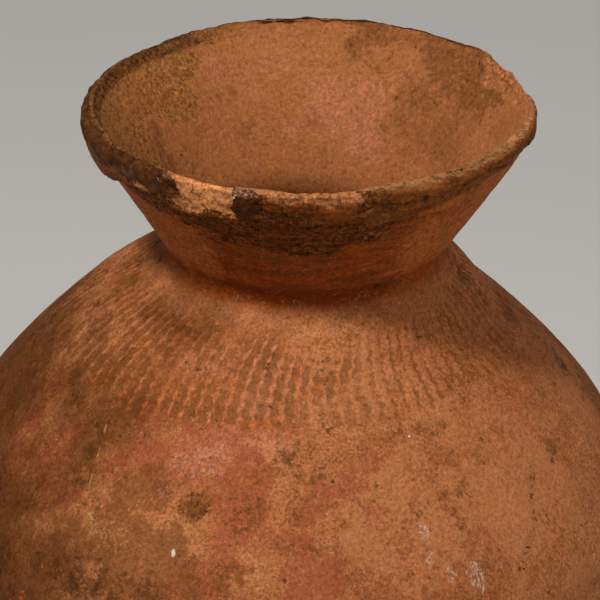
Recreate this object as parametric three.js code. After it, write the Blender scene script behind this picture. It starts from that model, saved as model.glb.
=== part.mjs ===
// A hand-built round pot in fired clay: a moulded base bowl, wall coils luted on with lapped joints,
// a neck set down off-centre, a flaring collar and an applied lip band that survives in three lengths.
// Millimetres, +Z up, origin at the centre of the flat resting spot, front towards -Y, +X to its right.
import * as THREE from "three";
import { mergeGeometries, mergeVertices } from "three/addons/utils/BufferGeometryUtils.js";

// Overall form
const potHeight = 350;
const bodyDiameter = 310;
const bellyHeight = 147; // height of the widest girth
const footDiameter = 96; // flat resting spot
const neckDiameter = 116; // outside, at the crease
const collarHeight = 66; // from the crease to the rim
const rimDiameter = 190; // over the lip band
const neckHeight = potHeight - collarHeight;

// Shape of the shoulder and the collar
const bellyRise = 46; // how far the wall climbs upright above the widest girth
const shoulderRun = 80; // straight stretch of the shoulder below the neck
const shoulderAngle = 42; // degrees above level
const creaseReach = 7; // length of each side of the rounded crease
const lipTurn = 10; // the collar turns upright this far below the rim
const lipRun = 12; // length of the turn along the flare

// The neck was set down off-centre, towards +X
const neckOffset = 9;
const settleDepth = 30; // the shoulder gives way over this height below the neck

// Clay thickness
const floorThickness = 11;
const wallThickness = 8;
const lipThickness = 8;

// Coils and their lapped joints
const bowlReach = 150; // length of the base bowl from its centre, along the wall
const lowerCoils = 4;
const shoulderCoils = 7;
const collarCoils = 2;
const neckCoilHeight = 30;
const lipCoilHeight = 16;
const lap = 6; // each joint climbs this far from the outer to the inner face
const seamGap = 0.3;

// The applied lip band, with the bearings where its lengths start and end, from the front towards +X
const bandThickness = 3;
const bandRounding = 1.2;
const frontBandHeight = 17;
const rightBandHeight = 12;
const leftBandHeight = 15.5;
const bandLengths = [
  { name: "lip_band_front", from: -19, to: -10, height: frontBandHeight },
  { name: "lip_band_right", from: 14, to: 99, height: rightBandHeight },
  { name: "lip_band_left", from: 120, to: 324, height: leftBandHeight },
];

// How finely round shapes are stepped
const turnSteps = 48;
const wallStep = 13;
const creaseStep = 4.5;
const crestSteps = 6;
const cornerSteps = 3;

const QUARTER_ARC = 0.5523; // handle length of a quarter ellipse, as a share of its half axis
const radians = THREE.MathUtils.degToRad;

const firedClay = new THREE.MeshStandardMaterial({ color: 0xa5683f, roughness: 0.85, metalness: 0 });
const shoulderClay = new THREE.MeshStandardMaterial({ color: 0xa9663f, roughness: 0.82, metalness: 0 });
const collarClay = new THREE.MeshStandardMaterial({ color: 0x9a5630, roughness: 0.78, metalness: 0 });
const sootedClay = new THREE.MeshStandardMaterial({ color: 0x4a2c1b, roughness: 0.55, metalness: 0 });

// The outer face of the wall, from the centre of the foot to the shoulder of the lip, as radius and height
const foot = new THREE.Vector2(footDiameter / 2, 0);
const belly = new THREE.Vector2(bodyDiameter / 2, bellyHeight);
const crease = new THREE.Vector2(neckDiameter / 2, neckHeight);
const lip = new THREE.Vector2(rimDiameter / 2 - bandThickness - seamGap, potHeight - lipThickness / 2);
const lipCorner = new THREE.Vector2(lip.x, potHeight - lipTurn);
const shoulderLine = new THREE.Vector2(-Math.cos(radians(shoulderAngle)), Math.sin(radians(shoulderAngle)));
const collarLine = lipCorner.clone().sub(crease).normalize();

const along = (point, direction, distance) => point.clone().addScaledVector(direction, distance);
const shoulderTop = along(crease, shoulderLine, -creaseReach);
const collarFoot = along(crease, collarLine, creaseReach);
const collarTop = along(lipCorner, collarLine, -lipRun);

const wall = new THREE.CurvePath();
wall.add(new THREE.LineCurve(new THREE.Vector2(0, 0), foot));
wall.add(
  new THREE.CubicBezierCurve(
    foot,
    new THREE.Vector2(foot.x + QUARTER_ARC * (belly.x - foot.x), 0),
    new THREE.Vector2(belly.x, bellyHeight * (1 - QUARTER_ARC)),
    belly,
  ),
);
wall.add(
  new THREE.CubicBezierCurve(
    belly,
    new THREE.Vector2(belly.x, bellyHeight + bellyRise),
    along(shoulderTop, shoulderLine, -shoulderRun),
    shoulderTop,
  ),
);
wall.add(new THREE.QuadraticBezierCurve(shoulderTop, crease, collarFoot));
wall.add(new THREE.LineCurve(collarFoot, collarTop));
wall.add(new THREE.QuadraticBezierCurve(collarTop, lipCorner, lip));

// Places along the wall, as lengths from the centre of the foot
const [, bellyReach, shoulderReach, creaseEnd] = wall.getCurveLengths();
const lipReach = wall.getLength();
const creaseMiddle = (shoulderReach + creaseEnd) / 2;
const neckSeam = creaseMiddle - neckCoilHeight / 2;
const collarSeam = creaseMiddle + neckCoilHeight / 2;
const lipSeam = lipReach - lipCoilHeight;

function thicknessAt(reach) {
  const inBowl = THREE.MathUtils.clamp(reach / bowlReach, 0, 1);
  const inCollar = THREE.MathUtils.clamp((reach - collarSeam) / (lipReach - collarSeam), 0, 1);
  const bowlWall = THREE.MathUtils.lerp(floorThickness, wallThickness, inBowl);
  return THREE.MathUtils.lerp(bowlWall, lipThickness, inCollar);
}

// A point of the wall, a depth inside its outer face
function wallPoint(reach, depth) {
  const share = THREE.MathUtils.clamp(reach / lipReach, 0, 1);
  const point = wall.getPoint(share);
  const tangent = wall.getTangent(share);
  return new THREE.Vector2(point.x - depth * tangent.y, point.y + depth * tangent.x);
}

// Points along one face of the wall between two places, both included
function wallFace(from, to, step, depthAt) {
  const steps = Math.ceil(Math.abs(to - from) / step);
  return Array.from({ length: steps + 1 }, (_, i) => {
    const reach = THREE.MathUtils.lerp(from, to, i / steps);
    return wallPoint(reach, depthAt(reach));
  });
}

const outerFace = (from, to, step) => wallFace(from, to, step, () => 0);
const innerFace = (from, to, step) => wallFace(from, to, step, thicknessAt);

// The neck's off-centre set shifts the neck and all above it
function settle(geometry) {
  const position = geometry.getAttribute("position");
  for (let i = 0; i < position.count; i++) {
    const shift = THREE.MathUtils.smoothstep(position.getZ(i), neckHeight - settleDepth, neckHeight);
    position.setX(i, position.getX(i) + neckOffset * shift);
  }
  return geometry;
}

// Outlines in radius and height become solids turned about the upright axis, bearing 0 at the front
function bare(geometry) {
  geometry.deleteAttribute("normal");
  geometry.deleteAttribute("uv");
  return geometry;
}

function turnedSurface(outline, from, to) {
  const sweep = radians(to - from);
  const steps = Math.max(1, Math.round((turnSteps * sweep) / (2 * Math.PI)));
  const closed = [...outline, outline[0]];
  return bare(new THREE.LatheGeometry(closed, steps, radians(from), sweep)).rotateX(Math.PI / 2);
}

function endFace(outline, bearing, reversed) {
  const face = bare(new THREE.ShapeGeometry(new THREE.Shape(outline)));
  face.rotateX(Math.PI / 2).rotateZ(radians(bearing - 90));
  if (reversed) {
    face.index.array.reverse();
  }
  return face;
}

function turnedRing(outline) {
  return settle(mergeVertices(turnedSurface(outline, 0, 360)));
}

function turnedLength(outline, from, to) {
  const surfaces = [turnedSurface(outline, from, to), endFace(outline, from, false), endFace(outline, to, true)];
  return settle(mergeVertices(mergeGeometries(surfaces)));
}

const pot = new THREE.Group();
pot.name = "round_pot";

function addPiece(name, geometry, material) {
  const piece = new THREE.Mesh(geometry, material);
  piece.name = name;
  pot.add(piece);
}

// Base bowl, pressed over a mould in one piece and closed in the middle
function baseBowl() {
  const outline = [...outerFace(0, bowlReach, wallStep), ...innerFace(bowlReach + lap, 0, wallStep)];
  return turnedRing(outline);
}

// One coil between two places on the wall; both its joints climb towards the inside
function coil(from, to, step) {
  const start = from + seamGap;
  return turnedRing([...outerFace(start, to, step), ...innerFace(to + lap, start + lap, step)]);
}

// A run of like coils, numbered from the lowest
function addCoils(name, count, from, to, material) {
  for (let i = 0; i < count; i++) {
    const bottom = THREE.MathUtils.lerp(from, to, i / count);
    const top = THREE.MathUtils.lerp(from, to, (i + 1) / count);
    addPiece(`${name}_${i + 1}`, coil(bottom, top, wallStep), material);
  }
}

// The top coil, rounded over its crest
function lipCoil() {
  const start = lipSeam + seamGap;
  const radius = thicknessAt(lipReach) / 2;
  const crest = Array.from({ length: crestSteps - 1 }, (_, i) => {
    const angle = (Math.PI * (i + 1)) / crestSteps;
    return new THREE.Vector2(lip.x - radius + radius * Math.cos(angle), lip.y + radius * Math.sin(angle));
  });
  const outer = outerFace(start, lipReach, creaseStep);
  const inner = innerFace(lipReach, start + lap, creaseStep);
  return turnedRing([...outer, ...crest, ...inner]);
}

// A quarter-round corner between two faces of the band, from one point to the next about a corner
function roundedCorner(before, corner, after) {
  return new THREE.QuadraticBezierCurve(before, corner, after).getPoints(cornerSteps);
}

// The section of the lip band, lying on the outer face of the collar
function bandOutline(height) {
  const bottom = lipReach - height;
  const back = -seamGap;
  const front = -seamGap - bandThickness;
  const lowCorner = roundedCorner(
    wallPoint(bottom, front + bandRounding),
    wallPoint(bottom, front),
    wallPoint(bottom + bandRounding, front),
  );
  const highCorner = roundedCorner(
    wallPoint(lipReach - bandRounding, front),
    wallPoint(lipReach, front),
    wallPoint(lipReach, front + bandRounding),
  );
  const frontFace = wallFace(bottom + 2 * bandRounding, lipReach - 2 * bandRounding, creaseStep, () => front);
  const backFace = wallFace(lipReach, bottom, creaseStep, () => back);
  return [...lowCorner, ...frontFace, ...highCorner, ...backFace];
}

addPiece("base_bowl", baseBowl(), firedClay);
addCoils("lower_wall_coil", lowerCoils, bowlReach, bellyReach, firedClay);
addCoils("shoulder_coil", shoulderCoils, bellyReach, neckSeam, shoulderClay);
addPiece("neck_coil", coil(neckSeam, collarSeam, creaseStep), collarClay);
addCoils("collar_coil", collarCoils, collarSeam, lipSeam, collarClay);
addPiece("lip_coil", lipCoil(), collarClay);
for (const { name, from, to, height } of bandLengths) {
  addPiece(name, turnedLength(bandOutline(height), from, to), sootedClay);
}

export default pot;
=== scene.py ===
"""Looks of a round hand-built clay pot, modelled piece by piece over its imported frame.

Settings and meshes are in metres. The wall and its relief are worked out in millimetres.
"""

import math
from types import SimpleNamespace
from typing import NamedTuple

import bpy
import numpy as np
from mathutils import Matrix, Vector


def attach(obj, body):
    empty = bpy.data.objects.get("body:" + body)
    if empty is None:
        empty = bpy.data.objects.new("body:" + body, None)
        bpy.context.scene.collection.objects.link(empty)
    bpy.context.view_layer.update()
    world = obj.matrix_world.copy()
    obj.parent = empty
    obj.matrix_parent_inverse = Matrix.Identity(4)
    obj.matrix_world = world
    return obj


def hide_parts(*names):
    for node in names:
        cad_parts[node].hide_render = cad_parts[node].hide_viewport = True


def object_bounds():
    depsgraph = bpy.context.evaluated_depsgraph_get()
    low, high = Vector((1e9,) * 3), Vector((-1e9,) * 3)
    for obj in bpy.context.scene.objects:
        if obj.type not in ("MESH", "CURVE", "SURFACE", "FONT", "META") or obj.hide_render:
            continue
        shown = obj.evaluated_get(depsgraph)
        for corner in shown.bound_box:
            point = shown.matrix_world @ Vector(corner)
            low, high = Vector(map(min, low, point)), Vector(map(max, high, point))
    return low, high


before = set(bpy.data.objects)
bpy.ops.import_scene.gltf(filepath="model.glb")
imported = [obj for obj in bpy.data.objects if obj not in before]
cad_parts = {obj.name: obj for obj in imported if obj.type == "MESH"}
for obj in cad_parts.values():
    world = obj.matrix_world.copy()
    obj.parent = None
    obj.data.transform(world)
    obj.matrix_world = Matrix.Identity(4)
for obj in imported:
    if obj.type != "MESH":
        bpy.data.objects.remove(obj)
CAD_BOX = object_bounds()

bl_info = {
    "name": "Round clay pot",
    "version": (1, 0, 0),
    "blender": (4, 5, 0),
    "location": "3D View > Sidebar > Round pot",
    "description": "Models an old hand-built clay pot, one clay piece at a time",
    "category": "Add Mesh",
}

MM = 0.001
FULL_TURN = 2 * math.pi


def length(label, about, value):
    """A length setting, in metres."""
    return bpy.props.FloatProperty(name=label, description=about, default=value, unit="LENGTH", precision=4)


def linear(red, green, blue):
    """Scene colour of a colour given as screen values from 0 to 255."""
    shares = [value / 255.0 for value in (red, green, blue)]
    return tuple(v / 12.92 if v <= 0.04045 else ((v + 0.055) / 1.055) ** 2.4 for v in shares)


def tint(label, about, red, green, blue):
    """A colour setting, given as screen values."""
    start = linear(red, green, blue)
    return bpy.props.FloatVectorProperty(
        name=label, description=about, default=start, subtype="COLOR", size=3, min=0.0, max=1.0
    )


class PotSizes(bpy.types.PropertyGroup):
    """Sizes of the pot's wall, its coils and its lip band."""

    height: length("Height", "From the foot to the rim", CAD_BOX[1].z)
    body_radius: length("Body radius", "At the widest girth", CAD_BOX[1].x)
    belly_height: length("Belly height", "Height of the widest girth", 0.147)
    foot_radius: length("Foot radius", "Flat resting spot", 0.048)
    neck_radius: length("Neck radius", "Outside, at the crease", 0.058)
    collar_height: length("Collar height", "From the crease to the rim", 0.066)
    rim_radius: length("Rim radius", "Over the lip band", 0.095)
    belly_rise: length("Belly rise", "How far the wall climbs upright above the widest girth", 0.046)
    shoulder_run: length("Shoulder run", "Straight stretch of the shoulder below the neck", 0.080)
    shoulder_angle: bpy.props.FloatProperty(
        name="Shoulder angle", description="Slope above level", default=math.radians(42), subtype="ANGLE"
    )
    crease_reach: length("Crease reach", "Length of each side of the rounded crease", 0.007)
    lip_turn: length("Lip turn", "The collar turns upright this far below the rim", 0.010)
    lip_run: length("Lip run", "Length of that turn along the flare", 0.012)
    neck_offset: length("Neck offset", "How far the neck sits off centre", 0.009)
    settle_depth: length("Settle depth", "The shoulder gives way over this height below the neck", 0.030)
    floor_thickness: length("Floor thickness", "Clay at the middle of the foot", 0.011)
    wall_thickness: length("Wall thickness", "Clay of the wall and the lip", 0.008)
    bowl_reach: length("Bowl reach", "Length of the base bowl from its centre, along the wall", 0.150)
    neck_coil_height: length("Neck coil height", "Along the wall", 0.030)
    lip_coil_height: length("Lip coil height", "Along the wall", 0.016)
    lap: length("Lap", "Each joint climbs this far from the outer to the inner face", 0.006)
    band_thickness: length("Band thickness", "Applied strip round the lip", 0.0033)
    marks_low: length("Marks low", "Lower edge of the impressed band, along the wall from the foot", 0.366)
    marks_high: length("Marks high", "Upper edge of the impressed band, along the wall from the foot", 0.408)
    marks_depth: length("Marks depth", "Depth of the impressed marks", 0.0006)
    marks_pitch: length("Marks pitch", "From one mark to the next down a column", 0.0053)
    marks_columns: bpy.props.IntProperty(
        name="Marks columns", description="Columns of marks round the pot", default=98
    )


class PotColours(bpy.types.PropertyGroup):
    """Colours of the clay and of what lies on it. Some of them are partly painted light and shade."""

    brown: tint("Brown clay", "Body of the pot", 157, 92, 53)
    tan: tint("Tan clay", "Paler, rubbed body of the pot", 185, 118, 74)
    # Umber and shade darken the left side of the body: partly darker clay, partly painted shade
    umber: tint("Umber clay", "Darker side of the body", 128, 72, 37)
    shade: tint("Shade", "Darkening of that side, times the colours below it", 178, 174, 152)
    slip: tint("Red slip", "What is left of the red wash", 154, 78, 51)
    olive: tint("Olive wear", "Where the wash is worn off", 114, 68, 31)
    dark: tint("Dark stain", "Brown stain low on the body", 84, 48, 24)
    scab: tint("Scab", "Rough brown spot", 108, 64, 28)
    # Groove dust is partly dust and partly painted shade in the grooves
    groove: tint("Groove dust", "Dust in the impressed grooves", 122, 72, 34)
    ridge: tint("Rubbed ridges", "Ridges between the grooves", 194, 100, 46)
    # Neck clay is partly the clay's colour and partly painted shade: the deep orange of the neck in the
    # collar's shade
    neck: tint("Neck clay", "Outside of the neck and the collar", 150, 64, 9)
    # Painted light: the sides of the neck are drawn lighter where light reaches them
    neck_light: tint("Bright neck clay", "Sides of the neck", 196, 112, 56)
    # Crease is a painted shadow: the deep shade in the crease below the collar at the front
    crease: tint("Crease clay", "Foot of the neck at the front", 104, 36, 5)
    neck_dark: tint("Wiped neck clay", "Brown wiping streaks there", 106, 48, 9)
    inside: tint("Inside clay", "Smooth inside of the collar", 168, 106, 62)
    pink: tint("Pink bloom", "Rosy bloom on the body and inside the collar", 192, 121, 88)
    ochre: tint("Ochre wear", "Rough worn patches inside the collar", 102, 61, 26)
    dull: tint("Dull clay", "Dull brown patches inside the collar", 128, 79, 42)
    straw: tint("Straw marks", "Pale fibres in the ochre patches", 165, 109, 58)
    soot: tint("Soot", "Smoke on the upper collar", 62, 30, 8)
    soot_brown: tint("Thin soot", "Where the smoke is thin", 106, 56, 20)
    worn: tint("Worn lip", "Lip below the spalled crest", 150, 80, 34)
    crust: tint("Lip crust", "Hard dark crust on the lip", 66, 32, 11)
    crust_face: tint("Crust face", "Outer face of the crust", 136, 77, 35)
    crust_tan: tint("Worn crust", "Where the crust is rubbed", 144, 98, 59)
    dirt: tint("Dirty crest", "Brown dirt on the lip and its crust", 100, 62, 31)
    fray: tint("Frayed crest", "Frayed and chipped crest of the lip", 174, 110, 68)
    raw: tint("Broken clay", "Fresh breaks in the lip", 214, 140, 88)
    pale: tint("Pale scratches", "Scratches and rubbed spots", 208, 158, 100)
    # Haze is a real scuffed haze on the body and at the neck, and a painted sheen on the front of the lip
    haze_and_sheen: tint("Haze", "Scuffed hairs on the body and the lip", 224, 180, 152)
    # Lime is real white flecks on the body, and a painted highlight on the front lip band
    lime_and_glint: tint("Lime", "White flecks", 236, 214, 190)
    fleck: tint("Yellow flecks", "Grains of yellow earth", 214, 138, 46)
    speck: tint("Dark specks", "Grit and smoke specks", 44, 24, 10)
    floor: tint("Floor", "Plain pale floor", 214, 213, 211)


# Noise and blends


def ramp(value, low, high):
    """Smooth step from 0 at low to 1 at high."""
    share = np.clip((value - low) / (high - low), 0.0, 1.0)
    return share * share * (3.0 - 2.0 * share)


def between(value, low, high, soft):
    """1 between two values, softened at both ends."""
    return ramp(value, low - soft, low + soft) * (1.0 - ramp(value, high - soft, high + soft))


def half_turn(degrees):
    """The same angle from -180 to 180 degrees."""
    return (degrees + 180.0) % 360.0 - 180.0


HASH_PRIMES = np.array([73856093, 19349663, 83492791])  # they stir a cell's place into a random value
SEED_PRIME = 39916801
MIX_PRIME = 1274126177


def lattice(points, seed):
    """Smooth noise from -1 to 1 at points that are given in cells."""
    cell = np.floor(points).astype(np.int64)
    part = ramp(points - cell, 0.0, 1.0)
    total = np.zeros(len(points))
    for corner in np.ndindex(2, 2, 2):
        stirred = np.bitwise_xor.reduce((cell + corner) * HASH_PRIMES, axis=1) ^ seed * SEED_PRIME
        stirred = (stirred ^ (stirred >> 13)) * MIX_PRIME & 0xFFFFFFFF
        value = ((stirred ^ (stirred >> 16)) & 0xFFFF) / 32767.5 - 1.0
        total += np.prod(np.where(corner, part, 1.0 - part), axis=1) * value
    return total


def rough(points, size, octaves, seed):
    """Layered noise from about -1 to 1, with its largest lumps of the given size."""
    total = np.zeros(len(points))
    for octave in range(octaves):
        total += lattice(points / (size * 0.5**octave), seed + 31 * octave) * 0.5**octave
    return total


def bezier(*corners, count=200):
    """Points along a curve with the given control corners."""
    share = np.linspace(0.0, 1.0, count)[:, None]
    points = [np.array(corner, dtype=float) for corner in corners]
    while len(points) > 1:
        points = [a * (1.0 - share) + b * share for a, b in zip(points, points[1:])]
    return points[0]


# The wall and the places on it, in millimetres


def in_millimetres(settings):
    """The size settings by name, with their lengths in millimetres."""
    values = {}
    for entry in settings.bl_rna.properties:
        is_length = entry.type == "FLOAT" and entry.unit == "LENGTH"
        value = getattr(settings, entry.identifier)
        values[entry.identifier] = value / MM if is_length else value
    return SimpleNamespace(**values)


class Wall:
    """The pot's wall. Places are told by reach, the length along the outer face from the foot's centre."""

    QUARTER_ARC = 0.5523  # handle of a quarter ellipse, as a share of its half axis
    CREST_POINTS = 80

    def __init__(self, settings):
        self.sizes = sizes = in_millimetres(settings)
        self.neck_height = sizes.height - sizes.collar_height
        crest_radius = sizes.wall_thickness / 2
        foot = np.array([sizes.foot_radius, 0.0])
        belly = np.array([sizes.body_radius, sizes.belly_height])
        crease = np.array([sizes.neck_radius, self.neck_height])
        lip = np.array([sizes.rim_radius - sizes.band_thickness, sizes.height - crest_radius])
        corner = np.array([lip[0], sizes.height - sizes.lip_turn])
        slope = np.array([-math.cos(sizes.shoulder_angle), math.sin(sizes.shoulder_angle)])
        self.flare = (corner - crease) / np.linalg.norm(corner - crease)
        shoulder_top = crease - sizes.crease_reach * slope
        collar_foot = crease + sizes.crease_reach * self.flare
        collar_top = corner - sizes.lip_run * self.flare
        foot_handle = (foot[0] + self.QUARTER_ARC * (belly[0] - foot[0]), 0.0)
        belly_handle = (belly[0], belly[1] * (1.0 - self.QUARTER_ARC))
        shoulder_handle = shoulder_top - sizes.shoulder_run * slope
        turn = np.linspace(0.0, math.pi, self.CREST_POINTS)
        runs = [
            bezier((0.0, 0.0), foot),
            bezier(foot, foot_handle, belly_handle, belly),
            bezier(belly, belly + (0.0, sizes.belly_rise), shoulder_handle, shoulder_top),
            bezier(shoulder_top, crease, collar_foot),
            bezier(collar_foot, collar_top),
            bezier(collar_top, corner, lip),
            lip + crest_radius * np.stack([np.cos(turn) - 1.0, np.sin(turn)], axis=1),
        ]
        self.points = np.concatenate([runs[0]] + [run[1:] for run in runs[1:]])
        steps = np.linalg.norm(np.diff(self.points, axis=0), axis=1)
        self.reaches = np.concatenate([[0.0], np.cumsum(steps)])
        tangents = np.gradient(self.points, self.reaches, axis=0)
        self.tangents = tangents / np.linalg.norm(tangents, axis=1)[:, None]
        self.inner_top = collar_top + sizes.wall_thickness * np.array([-self.flare[1], self.flare[0]])
        ends = self.reaches[np.cumsum([len(run) - 1 for run in runs])]
        self.belly, self.shoulder_top, self.collar_foot = ends[1:4]
        self.lip, self.crest_end = ends[5:7]
        crease_middle = (self.shoulder_top + self.collar_foot) / 2
        self.neck_seam = crease_middle - sizes.neck_coil_height / 2
        self.collar_seam = crease_middle + sizes.neck_coil_height / 2
        self.lip_seam = self.lip - sizes.lip_coil_height

    def thickness(self, reach):
        """Clay thickness at a reach."""
        bowl = np.clip(reach / self.sizes.bowl_reach, 0.0, 1.0)
        return self.sizes.floor_thickness * (1.0 - bowl) + self.sizes.wall_thickness * bowl

    def radius(self, reach):
        """Radius of the outer face at a reach."""
        return np.interp(reach, self.reaches, self.points[:, 0])

    def place(self, reach, depth, bearing):
        """Points at a depth inside the outer face. Bearing 0 is the front, and it grows towards +X."""
        along = np.stack([np.interp(reach, self.reaches, self.points[:, i]) for i in (0, 1)])
        heading = np.stack([np.interp(reach, self.reaches, self.tangents[:, i]) for i in (0, 1)])
        radius = along[0] - depth * heading[1]
        height = along[1] + depth * heading[0]
        shift = ramp(height, self.neck_height - self.sizes.settle_depth, self.neck_height)
        across = radius * np.sin(bearing) + self.sizes.neck_offset * shift
        return np.stack([across, -radius * np.cos(bearing), height], axis=1)


class Spot:
    """The places on one face of a piece that its relief is worked out for."""

    LEAST_RADIUS = 1.0
    PATCH_MARGIN = 2.5  # a patch shows nowhere beyond this many of its half heights

    def __init__(self, wall, reach, side, bearing):
        self.wall = wall
        self.reach = reach
        self.side = side
        self.bearing = bearing
        self.degrees = half_turn(np.degrees(bearing))
        self.depth = side * wall.thickness(reach)
        self.radius = np.maximum(wall.radius(reach), self.LEAST_RADIUS)
        self.point = wall.place(reach, self.depth, bearing)
        self.above_lip = reach - wall.lip  # positive on the crest
        self.on_lip = ramp(reach, wall.lip_seam, wall.lip)
        self.inner_crest = ramp(self.above_lip, 0.6, 2.4)  # the half of the crest that looks like the inside
        self.ragged = None

    def rough(self, size, octaves, seed):
        """Layered noise with its largest lumps of the given size."""
        return rough(self.point, size, octaves, seed)

    def strokes(self, stretch, width, seed):
        """Noise drawn out round the pot, as wiping with a wet hand leaves it."""
        turns = self.radius / stretch
        cells = [np.cos(self.bearing) * turns, np.sin(self.bearing) * turns, self.reach / width]
        return lattice(np.stack(cells, axis=1), seed)

    def sector(self, start, end, soft, warp=0.0):
        """1 between two bearings in degrees, with soft ends. A warp in degrees makes them ragged."""
        off = np.abs(half_turn(self.degrees + warp - (start + end) / 2))
        return 1.0 - ramp(off, (end - start) / 2 - soft, (end - start) / 2 + soft)

    def wander(self):
        """Two slow wanderings that make the edges of patches ragged."""
        if self.ragged is None:
            self.ragged = []
            for seed in (81, 83):
                self.ragged.append(0.55 * self.rough(17, 4, seed) + 0.2 * self.rough(3, 2, seed + 1))
        return self.ragged

    def patches(self, places, warp=1.0):
        """Ragged patches from rows of bearing, reach, half width, half height and strength in the middle."""
        field = np.zeros(len(self.reach))
        lowest, highest = self.reach.min(), self.reach.max()
        for degrees, reach, wide, tall, strength in places:
            margin = self.PATCH_MARGIN * tall
            if not lowest - margin < reach < highest + margin:
                continue
            sideways, upright = (warp * values for values in self.wander())
            across = np.radians(half_turn(self.degrees - degrees)) * self.radius / wide + sideways
            up = (self.reach - reach) / tall + upright
            field = np.maximum(field, strength * (1.0 - ramp(np.hypot(across, up), 0.35, 1.3)))
        return field


# Sides of the pot: the bearings in degrees where each starts and ends, and how softly
FRONT = (-112, 84, 10)
# The shaded side and the shaded neck mark the darker left side: partly darker clay, partly painted shade
SHADED_SIDE = (-118, -34, 15)
SHADED_NECK = (-66, -24, 10)
FULL_SHOULDER = (55, 125, 30)
PINCHED_NECK = (60, 130, 20)
FAINT_MARKS = (23, 70, 6)
DULL_MARKS = (-120, -58, 8)
DUSTY_LEFT = (-75, -12, 18)
DUSTY_RIGHT = (35, 75, 12)
# Sides of the neck that carry painted light
LIT_NECK_LEFT = (-85, -30, 10)
LIT_NECK_RIGHT = (26, 85, 14)
# Where the crease below the collar is painted with shadow
SHADOWED_CREASE = (-32, 38, 14)
THICK_RIM = (62, 124, 8)
DIRTY_CREST = (-145, -33, 8)
GRIMY_INSIDE = (-150, -40, 8)
CRUSTED_LEFT = (-240, -34, 6)
CRUSTED_RIGHT = (14, 70, 6)

# How far the rim is drawn out of round at bearings in degrees
SWAY_LEFT = ((-180, 2.4), (-160, 2.4), (-140, -0.4), (-120, 0.6), (-85, 0.6), (-70, 0), (-40, 0))
SWAY_FRONT = ((0, 0.2), (30, 0.4), (45, 0.8), (55, 1.6), (70, 2.6), (85, 3.6))
SWAY_BACK = ((100, 2.8), (115, 3.2), (125, 3.4), (140, 1.4), (160, 2.0), (180, 2.4))
SWAY_BEARINGS, SWAY_PUSHES = zip(*SWAY_LEFT, *SWAY_FRONT, *SWAY_BACK)

# Depth of the smoked zone below the lip at bearings in degrees
SMOKE_BEARINGS = (-180, -110, -72, -60, -50, -40, -30, -20, -8, 6, 16, 27, 40, 62, 180)
SMOKE_DEPTHS = (9, 8, 12, 19, 25, 28, 32, 36, 36, 35, 28, 18, 8, 4, 9)

# Where the impressed band is rubbed smooth: bearing, reach, half width, half height, strength
MARKS_RUBBED = (
    (7, 402, 15, 9, 1.0),
    (34, 386, 24, 10, 0.2),
    (-72, 385, 20, 16, 0.5),
    (110, 380, 20, 14, 0.8),
    (-120, 392, 22, 12, 0.7),
    (175, 376, 18, 12, 0.6),
)

# Patches that the front of the body shows, in the same way
BODY_PATCHES = {
    "rose": (
        (-12.4, 357, 18, 12, 0.9),
        (-21, 351, 14, 12, 0.6),
        (-7, 384, 30, 16, 0.7),
        (14, 370, 24, 8, 0.5),
    ),
    "slip": (
        (-52, 336, 10, 16, 0.95),
        (-60, 322, 12, 14, 0.75),
        (-64, 334, 9, 8, 0.8),
        (-45, 322, 13, 9, 0.95),
        (-33, 347, 13, 17, 0.9),
        (-19, 353, 17, 10, 0.9),
        (-14.4, 305, 16, 14, 1.0),
        (-8, 333, 13, 24, 0.75),
        (-14, 365, 26, 7, 0.7),
        (4, 306, 18, 18, 1.0),
        (6, 331, 12, 16, 0.55),
        (-66, 352, 12, 14, 0.55),
        (-37, 367, 18, 8, 0.7),
        (-24, 338, 8, 4, 0.7),
        (-33, 304, 10, 6, 0.6),
        (13, 345, 15, 12, 0.4),
        (52, 300, 14, 14, 0.4),
    ),
    "olive": (
        (-44, 336, 7, 18, 0.6),
        (-27, 336, 17, 14, 0.72),
        (-30, 318, 20, 10, 0.7),
        (-21, 345, 7, 7, 0.6),
        (-74, 340, 20, 26, 0.65),
        (-24, 301, 36, 19, 1.0),
        (-62, 376, 30, 18, 0.6),
        (-5, 347.5, 8, 6, 0.5),
        (-9, 325, 4, 5, 0.5),
        (69, 347, 12, 8, 0.45),
        (63, 325.5, 6, 7, 0.45),
    ),
    "stain": (
        (-50, 279, 36, 22, 0.45),
        (-62, 304, 22, 16, 0.5),
        (-33, 292, 22, 11, 0.8),
        (-23.5, 295, 14, 8, 0.5),
        (-34.5, 287.5, 3.5, 3, 0.9),
        (14.8, 311.5, 5, 3.5, 0.5),
        (10, 353.5, 4, 2, 0.5),
        (12.5, 391, 9, 8, 0.45),
        (54.4, 324.5, 4, 6, 0.45),
        (78.4, 341.5, 1.8, 1.8, 0.9),
        (38.4, 358, 2.5, 2.5, 0.55),
    ),
    "tan": (
        (27, 312, 30, 38, 0.95),
        (47, 312, 38, 42, 0.8),
        (8, 388, 40, 18, 0.6),
        (19, 338, 26, 24, 0.8),
        (60, 336, 22, 20, 0.5),
        (44, 347, 18, 14, 0.5),
        (-17, 350, 10, 7, 0.7),
    ),
    "scab": ((-17.2, 332.5, 7.5, 7.5, 1.0),),
}

# Free patches on the sides and the back: strength, then the noise's size, octaves and seed,
# and its values where they start and are full
FREE_PATCHES = {
    "slip": (0.85, 75, 3, 72, 0.0, 0.5),
    "olive": (0.85, 60, 3, 73, 0.1, 0.6),
    "stain": (0.8, 90, 3, 74, 0.35, 0.8),
    "tan": (0.7, 70, 2, 75, 0.1, 0.6),
}

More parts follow.
